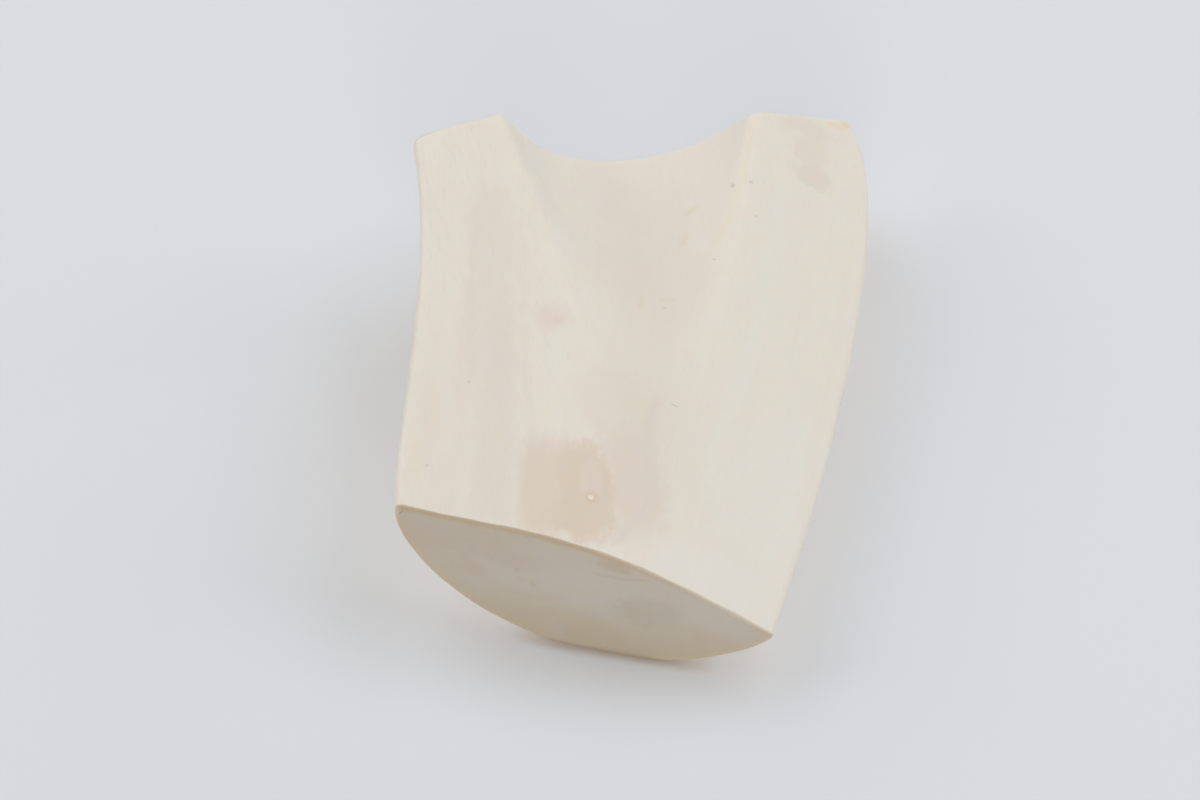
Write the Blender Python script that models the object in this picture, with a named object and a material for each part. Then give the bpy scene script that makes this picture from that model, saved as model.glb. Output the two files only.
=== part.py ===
"""A lengthwise section of mammoth tusk, lying on its rounded outside.

The block was sawn from the tusk where the pulp cavity begins. Its underside is the
tusk's own outside, the top is two shallow saw cuts that meet in a soft ridge, and the
cone of the pulp cavity has left a widening trough in the far half. Two upright saw cuts
end it. Sizes are in metres. +Y runs along the tusk from the solid end to the hollow one,
+X is to the right, and the piece rests on Z = 0.
"""

import math

import bmesh
import bpy

# The two long edges of the sawn top, seen from above: four points of a cubic curve each,
# from the near saw cut to the far one
LEFT_EDGE = ((-0.0599, -0.0574), (-0.058, -0.0264), (-0.0505, 0.0121), (-0.0566, 0.0452))
RIGHT_EDGE = ((0.0332, -0.0788), (0.0493, -0.0269), (0.0699, 0.0636), (0.0555, 0.0788))

# The two saw cuts of the top: height above the origin, rise to the right, rise to the far end
LEFT_CUT = (0.0535, 0.0, 0.1835)
RIGHT_CUT = (0.0479, -0.5256, 0.154)
RIDGE_SOFTNESS = 0.0118

# The pulp cavity: a circle at its mouth, whose centre leans and whose radius shrinks inwards
CAVITY_Y = 0.0647
CAVITY_X = 0.0036
CAVITY_Z = 0.0772
CAVITY_RADIUS = 0.0428
CAVITY_LEAN_X = -0.143
CAVITY_LEAN_Z = 0.093
CAVITY_FLARE = 0.184
# How far the rims of the cavity are worn round: much on the left, little on the right
LEFT_RIM_SOFTNESS = 0.009
RIGHT_RIM_SOFTNESS = 0.002

# The tusk's outside: its half-height at each end, and where its lowest line runs, as a
# share of the way from the left edge to the right one
NEAR_HALF_HEIGHT = 0.0494
FAR_HALF_HEIGHT = 0.068
NEAR_KEEL = 0.567
FAR_KEEL = 0.465
# How much of the outside is worn away where the piece stands
FOOT_WEAR = 0.0008

# The rounding of the long edges and of the rims of the two end cuts
EDGE_ROUNDING = 0.002
RIM_ROUNDING = 0.0006
ROUNDING_STEPS = 2

# How finely the surface is divided
STATIONS = 56
TOP_COLUMNS = 60
SIDE_COLUMNS = 12
FOOT_COLUMNS = 3

IVORY_COLOUR = (0.74, 0.68, 0.58, 1.0)
IVORY_ROUGHNESS = 0.45


def blend(near, far, share):
    """A value part of the way from the near end's to the far end's."""
    return near + (far - near) * share


def cubic(points, share):
    """A point of the cubic curve with these four control points."""
    back = 1.0 - share
    weights = (back ** 3, 3 * share * back ** 2, 3 * share ** 2 * back, share ** 3)
    return tuple(sum(w * p[axis] for w, p in zip(weights, points)) for axis in (0, 1))


def soft_min(a, b, softness):
    """The lower of two heights, rounded over where they are nearly the same."""
    overlap = max(softness - abs(a - b), 0.0) / softness
    return min(a, b) - overlap * overlap * softness / 4


def cut_height(cut, x, y):
    """The height of one saw cut's plane."""
    height, rise_x, rise_y = cut
    return height + rise_x * x + rise_y * y


def top_height(x, y):
    """The height of the top: the lower saw cut, or the cavity's floor where that is lower."""
    top = soft_min(cut_height(LEFT_CUT, x, y), cut_height(RIGHT_CUT, x, y), RIDGE_SOFTNESS)
    inwards = y - CAVITY_Y
    radius = CAVITY_RADIUS + CAVITY_FLARE * inwards
    aside = (x - CAVITY_X - CAVITY_LEAN_X * inwards) / radius
    if abs(aside) >= 1:
        return top
    floor = CAVITY_Z + CAVITY_LEAN_Z * inwards - radius * math.sqrt(1 - aside ** 2)
    return soft_min(top, floor, blend(LEFT_RIM_SOFTNESS, RIGHT_RIM_SOFTNESS, (1 + aside) / 2))


def outside_arc(reach, edge_height, half_height):
    """Half of the tusk's outside in one section, from the worn foot up to an edge.

    It is a quarter of an oval that touches the ground and passes through the edge.
    Gives (distance from the lowest line, height) pairs.
    """
    first = math.acos(1 - FOOT_WEAR / half_height)
    last = math.acos(1 - (edge_height + FOOT_WEAR) / half_height)
    half_width = reach / math.sin(last)
    arc = []
    for step in range(SIDE_COLUMNS + 1):
        turn = blend(first, last, step / SIDE_COLUMNS)
        arc.append((half_width * math.sin(turn), half_height * (1 - math.cos(turn)) - FOOT_WEAR))
    return arc


def section(share):
    """The closed outline of the piece at one station, over the top and back underneath."""
    left = cubic(LEFT_EDGE, share)
    right = cubic(RIGHT_EDGE, share)
    width = math.dist(left, right)
    keel = blend(NEAR_KEEL, FAR_KEEL, share) * width
    half_height = blend(NEAR_HALF_HEIGHT, FAR_HALF_HEIGHT, share)

    def plan(across):
        return tuple(blend(a, b, across / width) for a, b in zip(left, right))

    top = []
    for column in range(TOP_COLUMNS + 1):
        x, y = plan(width * column / TOP_COLUMNS)
        top.append((x, y, top_height(x, y)))
    right_arc = outside_arc(width - keel, top[-1][2], half_height)
    left_arc = outside_arc(keel, top[0][2], half_height)
    foot_right = right_arc[0][0]
    foot_left = -left_arc[0][0]
    foot = [(blend(foot_right, foot_left, step / FOOT_COLUMNS), 0.0) for step in range(1, FOOT_COLUMNS)]
    under = right_arc[-2::-1] + foot + [(-across, height) for across, height in left_arc[:-1]]
    return top + [(*plan(keel + across), max(height, 0.0)) for across, height in under]


def ivory_mesh():
    """Joins the sections into one closed body and marks the edges to round."""
    shape = bmesh.new()
    rings = []
    for station in range(STATIONS + 1):
        points = section(station / STATIONS)
        rings.append([shape.verts.new(point) for point in points])
    count = len(rings[0])
    for near, far in zip(rings, rings[1:]):
        for k in range(count):
            after = (k + 1) % count
            shape.faces.new((near[k], near[after], far[after], far[k]))
    shape.faces.new(rings[0])
    shape.faces.new(rings[-1])
    bmesh.ops.recalc_face_normals(shape, faces=shape.faces)
    weight = shape.edges.layers.float.new("bevel_weight_edge")
    for ring in (rings[0], rings[-1]):
        for k in range(count):
            shape.edges.get((ring[k], ring[(k + 1) % count]))[weight] = RIM_ROUNDING / EDGE_ROUNDING
    for near, far in zip(rings, rings[1:]):
        for column in (0, TOP_COLUMNS):
            shape.edges.get((near[column], far[column]))[weight] = 1.0
    mesh = bpy.data.meshes.new("ivory_piece")
    shape.to_mesh(mesh)
    shape.free()
    return mesh


def ivory_material():
    """Plain pale ivory with a dull polish."""
    material = bpy.data.materials.new("ivory")
    material.use_nodes = True
    shader = material.node_tree.nodes["Principled BSDF"]
    shader.inputs["Base Color"].default_value = IVORY_COLOUR
    shader.inputs["Roughness"].default_value = IVORY_ROUGHNESS
    shader.inputs["Metallic"].default_value = 0.0
    return material


def ivory_piece():
    """The whole object: one grown piece, sawn on four sides."""
    piece = bpy.data.objects.new("ivory_piece", ivory_mesh())
    bpy.context.collection.objects.link(piece)
    piece.data.materials.append(ivory_material())
    rounding = piece.modifiers.new("rounded_edges", "BEVEL")
    rounding.limit_method = "WEIGHT"
    rounding.width = EDGE_ROUNDING
    rounding.segments = ROUNDING_STEPS
    piece.data.shade_smooth()
    piece.data.set_sharp_from_angle(angle=math.radians(35))
    return piece


for leftover in list(bpy.data.objects):
    bpy.data.objects.remove(leftover)
ivory_piece()
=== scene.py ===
# %% [markdown]
# # A sawn section of mammoth tusk
#
# The real object is one piece of ivory, about as long as a hand. Somebody sawed it out of
# a tusk, so four of its faces are flat cuts, and the other two were grown: the outside of
# the tusk, on which it rests, and the cone of the pulp cavity, which is the trough in the
# far half of its top. This lesson builds that one piece as a fine surface, gives it a skin
# of layered nodes, and photographs it on a pale table under a soft light.

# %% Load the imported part
import math

import bpy
import numpy as np
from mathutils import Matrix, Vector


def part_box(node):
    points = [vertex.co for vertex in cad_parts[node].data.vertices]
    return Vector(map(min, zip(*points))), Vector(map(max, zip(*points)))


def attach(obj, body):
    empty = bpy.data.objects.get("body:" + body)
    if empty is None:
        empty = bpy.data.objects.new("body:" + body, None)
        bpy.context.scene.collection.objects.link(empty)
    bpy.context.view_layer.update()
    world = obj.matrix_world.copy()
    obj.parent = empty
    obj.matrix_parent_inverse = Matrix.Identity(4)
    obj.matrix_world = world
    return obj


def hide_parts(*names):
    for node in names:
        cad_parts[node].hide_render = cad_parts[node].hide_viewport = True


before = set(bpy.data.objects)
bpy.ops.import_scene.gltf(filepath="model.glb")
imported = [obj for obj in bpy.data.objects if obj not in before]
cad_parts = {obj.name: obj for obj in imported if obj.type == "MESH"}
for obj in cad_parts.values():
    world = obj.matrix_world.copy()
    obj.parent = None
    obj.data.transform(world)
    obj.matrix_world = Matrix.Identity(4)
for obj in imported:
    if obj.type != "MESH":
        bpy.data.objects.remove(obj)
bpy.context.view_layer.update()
low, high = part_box("ivory_piece")
print("solid:", [round(1000 * side, 1) for side in high - low], "mm")

# %% [markdown]
# ## The camera
#
# The piece is seen from its solid end, looking down at fifty degrees. The lens could be
# short and close, but the edges that run away from us hardly converge, so a long lens far
# off is the honest choice: 180 mm at a metre and a half. The camera is placed by walking
# back along its own line of sight from the point that lands in the middle of the picture.

# %% Camera
VIEW_ELEVATION = math.radians(50.0)
VIEW_DISTANCE = 1.5
VIEW_TARGET = (-0.0094, -0.0013, 0.015)
LENS_MM = 180.0


def add_camera():
    """Camera place: the target, plus the distance along the raised line of sight."""
    lens = bpy.data.cameras.new("camera")
    lens.lens = LENS_MM
    lens.sensor_fit = "HORIZONTAL"
    lens.clip_end = 20.0
    camera = bpy.data.objects.new("camera", lens)
    bpy.context.scene.collection.objects.link(camera)
    x, y, z = VIEW_TARGET
    back = VIEW_DISTANCE * math.cos(VIEW_ELEVATION)
    rise = VIEW_DISTANCE * math.sin(VIEW_ELEVATION)
    camera.location = (x, y - back, z + rise)
    camera.rotation_euler = (math.pi / 2 - VIEW_ELEVATION, 0, 0)
    bpy.context.scene.camera = camera
    return camera


camera = add_camera()
print("camera at", [round(v, 3) for v in camera.location])

# %% [markdown]
# ## The shape of the top
#
# Seen from above, the two long edges are gentle curves, so four control points of a cubic
# curve are enough for each. The height of the top is a formula too. Two shallow saw cuts
# meet in a ridge, which means that the lower of two planes wins, and the pulp cavity is a
# leaning cone that wins wherever it is lower still. A plain minimum would leave knife
# edges, and hands have worn the real ones round, so the minimum is softened: each edge
# gets its own softness in metres.

# %% Driving dimensions, in metres
LEFT_EDGE = ((-0.0599, -0.0574), (-0.058, -0.0264), (-0.0505, 0.0121), (-0.0566, 0.0452))
RIGHT_EDGE = ((0.0332, -0.0788), (0.0493, -0.0269), (0.0699, 0.0636), (0.0555, 0.0788))
LEFT_CUT = (0.0535, 0.0, 0.1835)
RIGHT_CUT = (0.0479, -0.5256, 0.154)
RIDGE_SOFTNESS = 0.0118
CAVITY_Y, CAVITY_X, CAVITY_Z = 0.0647, 0.0036, 0.0772
CAVITY_RADIUS = 0.0428
CAVITY_LEAN_X, CAVITY_LEAN_Z = -0.143, 0.093
CAVITY_FLARE = 0.184
LEFT_RIM_SOFTNESS, RIGHT_RIM_SOFTNESS = 0.009, 0.002
NEAR_HALF_HEIGHT, FAR_HALF_HEIGHT = 0.0494, 0.068
NEAR_KEEL, FAR_KEEL = 0.567, 0.465
FOOT_WEAR = 0.0008
FOOT_SOFTNESS = 0.0012


# %% The formulas of the top
def blend(near, far, share):
    """A straight mix: all near at share 0, all far at share 1."""
    return near + (far - near) * share


def cubic(points, share):
    """Points of a cubic curve: each control point weighted by its Bernstein polynomial."""
    back = 1.0 - share
    weights = np.stack((back ** 3, 3 * share * back ** 2, 3 * share ** 2 * back, share ** 3), axis=-1)
    return weights @ np.array(points)


def soft_min(a, b, softness):
    """The lower of two heights, less a parabola's worth where they nearly agree."""
    overlap = np.clip(softness - np.abs(a - b), 0, None) / softness
    return np.minimum(a, b) - overlap ** 2 * softness / 4


def cavity_axis(y):
    """Where the cavity's leaning axis passes at y, and the cone's radius there."""
    inwards = y - CAVITY_Y
    middle_x = CAVITY_X + CAVITY_LEAN_X * inwards
    middle_z = CAVITY_Z + CAVITY_LEAN_Z * inwards
    return middle_x, middle_z, CAVITY_RADIUS + CAVITY_FLARE * inwards


def top_height(x, y):
    """The lowest of two planes and the underside of a cone, softened where they meet."""
    left = LEFT_CUT[0] + LEFT_CUT[1] * x + LEFT_CUT[2] * y
    right = RIGHT_CUT[0] + RIGHT_CUT[1] * x + RIGHT_CUT[2] * y
    top = soft_min(left, right, RIDGE_SOFTNESS)
    middle_x, middle_z, radius = cavity_axis(y)
    aside = (x - middle_x) / radius
    inside = np.abs(aside) < 1
    floor = middle_z - radius * np.sqrt(np.where(inside, 1 - aside ** 2, 0))
    softness = blend(LEFT_RIM_SOFTNESS, RIGHT_RIM_SOFTNESS, (1 + aside) / 2)
    return np.where(inside, soft_min(top, floor, np.where(inside, softness, 1)), top)


ridge_height = float(top_height(np.float64(-0.01), np.float64(0)))
print("ridge height in the middle:", round(1000 * ridge_height, 1), "mm")

# %% [markdown]
# ## Where the grid lines go
#
# The surface is a grid of rings. A ring runs over the top from left to right and back
# underneath, and the rings follow each other from the near cut to the far one. The worn
# corners need close lines and the flat middle doesn't, so the rings are first worked out
# much too finely, which also makes rounding easy, and then only some columns are kept.
# At both ends a few extra rings turn the corner onto the saw cut: they step inwards as
# they step towards the end, along a quarter of a circle.

# %% Grid
FINE_COLUMNS = 400
KEPT_EVERY = 3
CORNER_COLUMNS = 14
STATIONS = 176
RIM_STEPS = 5
RIM_RADIUS = 0.00065
NEAR_CORNER_RADIUS = 0.0013
FAR_CORNER_RADIUS = 0.0015
CORNER_REACH = 0.03
RIM_WEAR = 0.16
RIM_WAVES = ((7, 1.0), (17, 4.0))
FAR_RIM_SHIFT = 0.3
MEAN_LENGTH = 0.132
PEARL = (-0.0116, -0.0541)
PEARL_SHARE = (0.085, 0.15)
PEARL_STATIONS = 30
PEARL_COLUMNS = (0.455, 0.565)


def kept_columns():
    """Every third fine column, and every one near the long edges and the pearl."""
    all_of_them = np.arange(FINE_COLUMNS + 1)
    share = all_of_them / FINE_COLUMNS
    from_edge = np.minimum(all_of_them, FINE_COLUMNS - all_of_them)
    close = (share > PEARL_COLUMNS[0]) & (share < PEARL_COLUMNS[1])
    wanted = (all_of_them % KEPT_EVERY == 0) | (from_edge < CORNER_COLUMNS) | close
    return all_of_them[wanted | (from_edge == 0)]


def edge_wear(places):
    """How round each point of an end's rim is worn, as a multiple: one and a few slow waves."""
    waves = [np.sin(places * 2 * np.pi * count + start) for count, start in RIM_WAVES]
    return 1 + RIM_WEAR * sum(waves)


def station_table(columns):
    """Share of the length, and step inwards, for every ring (rows) and column.

    On a rim the share follows 1 - cos and the step inwards 1 - sin of the same turn.
    """
    around = np.arange(columns) / columns
    turn = np.linspace(0, np.pi / 2, RIM_STEPS + 1)[:, None]
    at_left = np.exp(-(2 * np.minimum(around, 1 - around) / CORNER_REACH) ** 2)
    near_radius = RIM_RADIUS * edge_wear(around) + NEAR_CORNER_RADIUS * at_left
    far_radius = RIM_RADIUS * edge_wear(around + FAR_RIM_SHIFT) + FAR_CORNER_RADIUS * at_left
    near_share = (1 - np.cos(turn)) * near_radius / MEAN_LENGTH
    far_share = 1 - (1 - np.cos(turn[::-1])) * far_radius / MEAN_LENGTH
    inner = np.union1d(np.linspace(0, 1, STATIONS), np.linspace(*PEARL_SHARE, PEARL_STATIONS))[1:-1, None]
    middle = blend(near_share[-1], far_share[0], inner)
    inwards_near = (1 - np.sin(turn)) * near_radius
    inwards_far = (1 - np.sin(turn[::-1])) * far_radius
    share = np.vstack((near_share, middle, far_share))
    inwards = np.vstack((inwards_near, np.zeros_like(middle), inwards_far))
    return share, inwards


columns = kept_columns()
share, inwards = station_table(2 * FINE_COLUMNS)
print(len(columns), "columns kept on the top,", len(share), "rings")

# %% [markdown]
# ## The rings
#
# The underside of a ring is part of an oval that stands on the floor: half of an ellipse
# on the left of the lowest line and half of another on the right, each as wide as it must
# be to pass through its edge. Where the oval dips below the floor it was worn flat, so the
# higher of oval and floor counts, with a soft change from one to the other. The two long
# edges are rounded by blurring the ring with a bell curve, but only near the edges, so
# that the crisp right bank of the cavity stays crisp. The near left tip is worn rounder
# than the rest. A blur along a closed ring is one multiplication in its Fourier transform.

# %% Rings
EDGE_BLUR_COLUMNS = 6.3
EDGE_BLUR_REACH = 24.0
TIP_BLUR_COLUMNS = 12.0
TIP_REACH = 0.07


def section_frame(share):
    """The left edge, the way to the right edge, the width, the lowest line and the half-height."""
    left = cubic(LEFT_EDGE, share)
    reach = cubic(RIGHT_EDGE, share) - left
    width = np.linalg.norm(reach, axis=-1)
    keel = blend(NEAR_KEEL, FAR_KEEL, share) * width
    return left, reach, width, keel, blend(NEAR_HALF_HEIGHT, FAR_HALF_HEIGHT, share)


def half_turns(share):
    """How far the oval turns, and its half-width, on the left and on the right of a section."""
    left, reach, width, keel, half_height = section_frame(share)
    right = left + reach
    turns = []
    for edge, distance in ((left, keel), (right, width - keel)):
        height = top_height(edge[..., 0], edge[..., 1])
        last = np.arccos(1 - (height + FOOT_WEAR) / half_height)
        turns.append((last, distance / np.sin(last)))
    return turns


def fine_rings(share):
    """Every fine ring: over the top at even steps, then back under it at even turns."""
    left, reach, width, keel, half_height = section_frame(share)
    count = FINE_COLUMNS
    across = np.concatenate((np.arange(count), np.arange(count, 0, -1))) / count
    over = np.arange(2 * count) < count
    (left_last, left_half), (right_last, right_half) = half_turns(share)
    turn = -left_last + (left_last + right_last) * across
    half_width = np.where(turn < 0, left_half, right_half)
    under_across = (keel + half_width * np.sin(turn)) / width
    oval = half_height * (1 - np.cos(turn)) - FOOT_WEAR
    under_height = -soft_min(-oval, 0 * oval, FOOT_SOFTNESS)
    plan = left + reach * np.where(over, across, under_across)[..., None]
    height = np.where(over, top_height(plan[..., 0], plan[..., 1]), under_height)
    return np.concatenate((plan, height[..., None]), axis=-1)


def blurred(rings, columns):
    """Each ring blurred with a bell curve of this many columns: its waves times a bell."""
    waves = np.fft.rfftfreq(rings.shape[1])[None, :, None]
    bell = np.exp(-2 * (np.pi * waves * columns) ** 2)
    return np.fft.irfft(np.fft.rfft(rings, axis=1) * bell, rings.shape[1], axis=1)


def blurred_edges(rings, share):
    """Mixes a blur in only near the long edges, and a wider one at the near left tip."""
    count = rings.shape[1]
    soft = blurred(rings, EDGE_BLUR_COLUMNS)
    left_half = (np.abs(np.arange(count) - count / 2) > count / 4)[None, :]
    at_tip = (np.exp(-(share / TIP_REACH) ** 2) * left_half)[..., None]
    soft = blend(soft, blurred(rings, TIP_BLUR_COLUMNS), at_tip)
    place = np.arange(count)
    to_left = np.minimum(place, count - place)
    to_right = np.abs(place - count // 2)
    near_edge = np.exp(-(np.minimum(to_left, to_right) / EDGE_BLUR_REACH) ** 4)[None, :, None]
    return blend(rings, soft, near_edge)


def stepped_in(rings, inwards, share):
    """Moves each point into the section by its step, at right angles to the ring."""
    left, reach, width, _, _ = section_frame(share)
    way = reach / width[..., None]
    step = np.roll(rings, -1, axis=1) - np.roll(rings, 1, axis=1)
    along = (step[..., :2] * way).sum(axis=-1)
    climb = step[..., 2]
    size = np.hypot(along, climb)
    moved = rings.copy()
    moved[..., :2] += way * (inwards * climb / size)[..., None]
    moved[..., 2] -= inwards * along / size
    return moved


rings = stepped_in(blurred_edges(fine_rings(share), share), inwards, share)
ring_columns = np.concatenate((columns, 2 * FINE_COLUMNS - columns[-2:0:-1]))
rings = rings[:, ring_columns]
print("ring grid:", rings.shape[:2], "lowest point", round(1000 * rings[..., 2].min(), 3), "mm")

# %% [markdown]
# ## Small relief
#
# A hand-finished cut isn't a perfect plane. Long shallow hollows of a twentieth of a
# millimetre catch the light, and near the solid end sits a denticle, a pearl of ivory that
# grew inside the pulp: a tiny knob in a pit, with an oval of disturbed layers around it.
# All of it is added to the height of the top, and fades out towards the edges so that the
# outline stays true.

# %% Relief
PEARL_KNOB = (0.00042, 0.0006)
PEARL_PIT = (-0.00022, 0.00105)
OVAL_CENTRE = (-0.0109, -0.0498)
OVAL_HALF = (0.0034, 0.0068)
OVAL_DEPTH = 0.00012
OVAL_WALL, OVAL_FLOOR, OVAL_FLOOR_REACH = 0.22, 0.8, 0.8
SMALL_KNOBS = ((-0.0166, -0.0508, 0.00012), (-0.0178, -0.0526, 0.0001), (-0.0143, -0.0487, 0.0001))
SMALL_KNOB_WIDTH = 0.0007
HOLLOW_DEPTH = 0.00005
# The hollows' waves, in radians a metre: one that sways, and straight ones with a start
SWAYING_ACROSS, SWAY, SWAYING_ALONG = 410, 1.3, 43
STRAIGHT_WAVES = ((730, -60, 2), (190, 120, 0))
FADE_ACROSS, FADE_ALONG = 0.05, 0.06


def bell(x, y, centre, width):
    """A bell curve of the distance from the centre, one at its top."""
    return np.exp(-((x - centre[0]) ** 2 + (y - centre[1]) ** 2) / width ** 2)


def relief(x, y):
    """Knob and pit as two bells, the oval as a ring-shaped bell, and slow waves for the hollows."""
    height = sum(size * bell(x, y, PEARL, width) for size, width in (PEARL_KNOB, PEARL_PIT))
    out = np.hypot((x - OVAL_CENTRE[0]) / OVAL_HALF[0], (y - OVAL_CENTRE[1]) / OVAL_HALF[1])
    wall = np.exp(-((out - 1) / OVAL_WALL) ** 2)
    height += OVAL_DEPTH * (wall - OVAL_FLOOR * np.exp(-(out / OVAL_FLOOR_REACH) ** 4))
    for knob_x, knob_y, knob_height in SMALL_KNOBS:
        height += knob_height * bell(x, y, (knob_x, knob_y), SMALL_KNOB_WIDTH)
    waves = np.sin(x * SWAYING_ACROSS + SWAY * np.sin(y * SWAYING_ALONG))
    for wave_across, wave_along, start in STRAIGHT_WAVES:
        waves = waves + np.sin(x * wave_across + y * wave_along + start)
    return height + HOLLOW_DEPTH * waves


def with_relief(rings, columns_on_top):
    """Adds the relief to the columns of the top, less and less towards the outline."""
    moved = rings.copy()
    top = moved[:, :columns_on_top]
    across = np.linspace(0, 1, columns_on_top)
    along = np.linspace(0, 1, len(moved))
    fade = np.clip(np.minimum(across, 1 - across) / FADE_ACROSS, 0, 1)[None, :]
    fade = fade * np.clip(np.minimum(along, 1 - along) / FADE_ALONG, 0, 1)[:, None]
    top[..., 2] += relief(top[..., 0], top[..., 1]) * fade
    return moved


rings = with_relief(rings, len(columns))
print("the pearl rises", round(1000 * float(relief(*PEARL)), 2), "mm, and each wave 0.05 mm")

# %% [markdown]
# ## Closing the ends
#
# A saw cut is filled with a second grid: columns that run from a point of the top straight
# down to the point of the underside with the same number, so the fill shares its whole
# outline with the first or last ring. At the two tips the columns shrink to nothing, and
# the triangles that would have two equal corners are left out. The signed volume, a sum of
# small tetrahedra, tells whether the surface is closed and faces outwards.

# %% Mesh
CUT_ROWS = 22


def cut_grid(ring, first_index, start):
    """A cut's grid: rows crowd to the outline as 1 - cos; returns new points and the index table."""
    count = len(columns)
    top = np.arange(count)
    under = (len(ring) - top) % len(ring)
    down = (1 - np.cos(np.linspace(0, np.pi, CUT_ROWS + 1))) / 2
    points = blend(ring[top][:, None], ring[under][:, None], down[None, :, None])
    table = np.empty((count, CUT_ROWS + 1), int)
    table[:] = (first_index + top)[:, None]
    table[1:-1, -1] = first_index + under[1:-1]
    table[1:-1, 1:-1] = start + np.arange((count - 2) * (CUT_ROWS - 1)).reshape(count - 2, CUT_ROWS - 1)
    return points[1:-1, 1:-1].reshape(-1, 3), table


def two_triangles(table):
    """Splits every cell of an index table in two, and drops the triangles that have shrunk away."""
    a, b, c, d = (part.ravel() for part in (table[:-1, :-1], table[:-1, 1:], table[1:, 1:], table[1:, :-1]))
    triangles = np.concatenate((np.stack((a, b, c), 1), np.stack((a, c, d), 1)))
    one, two, three = triangles.T
    return triangles[(one != two) & (two != three) & (one != three)]


ring_count, ring_size = rings.shape[:2]
side_table = np.arange(ring_count * ring_size).reshape(ring_count, ring_size)
side_table = np.hstack((side_table, side_table[:, :1]))
near_points, near_table = cut_grid(rings[0], 0, ring_count * ring_size)
far_start = ring_count * ring_size + len(near_points)
far_points, far_table = cut_grid(rings[-1], (ring_count - 1) * ring_size, far_start)
points = np.concatenate((rings.reshape(-1, 3), near_points, far_points))
a, b, c, d = side_table[:-1, :-1], side_table[:-1, 1:], side_table[1:, 1:], side_table[1:, :-1]
quads = np.stack((a, b, c, d), axis=-1).reshape(-1, 4)
triangles = np.concatenate((two_triangles(near_table), two_triangles(far_table)[:, ::-1]))


def signed_volume(points, triangles):
    """A sixth of the sum of each triangle's triple product."""
    one, two, three = (points[triangles[:, k]] for k in range(3))
    return float((one * np.cross(two, three)).sum() / 6)


whole = np.concatenate((quads[:, [0, 1, 2]], quads[:, [0, 2, 3]], triangles))
print(len(whole), "triangles, volume", round(1e6 * signed_volume(points, whole), 1), "cubic centimetres")

# %% [markdown]
# ## Notes for the material
#
# Ivory's pattern follows how it grew, not the camera or the room, so the mesh carries a
# few measurements at each point and the material paints from them. Nearly all are in
# millimetres. `grain` is across, along and up the piece, with the long edges straightened,
# so that fibres run beside them. `layers` is the distance from the cone of the pulp cavity,
# since dentine grew in nested cones. `skin` is the depth below the tusk's outside, where
# the darker cementum is, and `below_top` the depth below the top. `rings` winds round the
# tusk's middle for the crossed lines that are seen on a saw cut at an end. `hollow` holds
# the depth of the cavity below the saw cuts, the place across its cone in radii, with the
# right of the axis above nought, and the place along the piece. `end_cut` is a plain
# share: one on the two end cuts, nought elsewhere.
#
# Some lines on the top are drawn as a few points each, and the note of the same
# name says how far away the nearest such line is. `vein` does so for one more line.

# %% Measurements on the mesh
MM = 1000.0
NOMINAL_WIDTH_MM = 95.0
NOMINAL_RADIUS_MM = 50.0
SIDEWAYS_STEPS = 12
FAR_AWAY_MM = 99.0
# The softened ridge lies a little below both planes, and that is no hollow
RIDGE_ALLOWANCE = RIDGE_SOFTNESS / 8
# The vein: a parabola that starts at a place along the piece, and a slow wave, in millimetres
VEIN_START = -45
VEIN_PARABOLA = (1.9, 0.2056, -0.00556)
VEIN_WAVE, VEIN_WAVE_START, VEIN_WAVE_LENGTH = 1.7, -44, 36
DRAWN_LINES = {
    "blue_stripe": [
        [(36.6, 51), (33.2, 31), (30.4, 10), (26, -10), (20.8, -25), (16.7, -41)],
        [(40.8, -17), (37.9, -36), (32, -58)],
    ],
    "grey_band": [[(-37, 26), (-35.5, 0), (-34, -34), (-35, -58)]],
    "fine_line": [
        [(-28, 15), (-28, -10), (-26.6, -30), (-25, -39)],
        [(-40, 24), (-41.5, 0), (-40.5, -24)],
    ],
    "light_stripe": [
        [(-46.3, 12), (-46.9, -42)],
        [(-31, 39), (-20, 23), (-21, -2), (-13.6, -12)],
    ],
    "rim_line": [[(29.1, 68), (28.4, 61), (24.8, 44.4), (20, 29.5)]],
    "ochre_streak": [
        [(11.6, 30.5), (12.2, 33.5)],
        [(12.8, 41.5), (15.3, 43.8)],
        [(0.6, 6.8), (1.1, 9.2)],
        [(5.6, 10), (8.4, 10.8)],
    ],
}


def share_along(points):
    """Where each point lies along the piece, found by halving: is it beyond this section's line?"""
    low = np.zeros(len(points))
    high = np.ones(len(points))
    for _ in range(SIDEWAYS_STEPS):
        middle = (low + high) / 2
        left, reach, _, _, _ = section_frame(middle)
        beyond = reach[:, 0] * (points[:, 1] - left[:, 1]) - reach[:, 1] * (points[:, 0] - left[:, 0]) > 0
        low = np.where(beyond, middle, low)
        high = np.where(beyond, high, middle)
    return (low + high) / 2


def line_distance(x, y, lines):
    """The distance to the nearest piece of some bent lines, all in millimetres.

    A share along each piece is clipped to it, which gives the nearest point.
    """
    nearest = np.full(len(x), FAR_AWAY_MM)
    for line in lines:
        for (from_x, from_y), (to_x, to_y) in zip(line, line[1:]):
            way_x, way_y = to_x - from_x, to_y - from_y
            share = ((x - from_x) * way_x + (y - from_y) * way_y) / (way_x ** 2 + way_y ** 2)
            share = np.clip(share, 0, 1)
            nearest = np.minimum(nearest, np.hypot(x - from_x - share * way_x, y - from_y - share * way_y))
    return nearest


def vein_aside(x, y):
    """Signed distance to the vein: x less a parabola and a slow wave of y, in millimetres."""
    beyond = y - VEIN_START
    start, lean, bend = VEIN_PARABOLA
    wave = VEIN_WAVE * np.sin(2 * np.pi * (y - VEIN_WAVE_START) / VEIN_WAVE_LENGTH)
    return x - (start + lean * beyond + bend * beyond ** 2 - wave)


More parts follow.
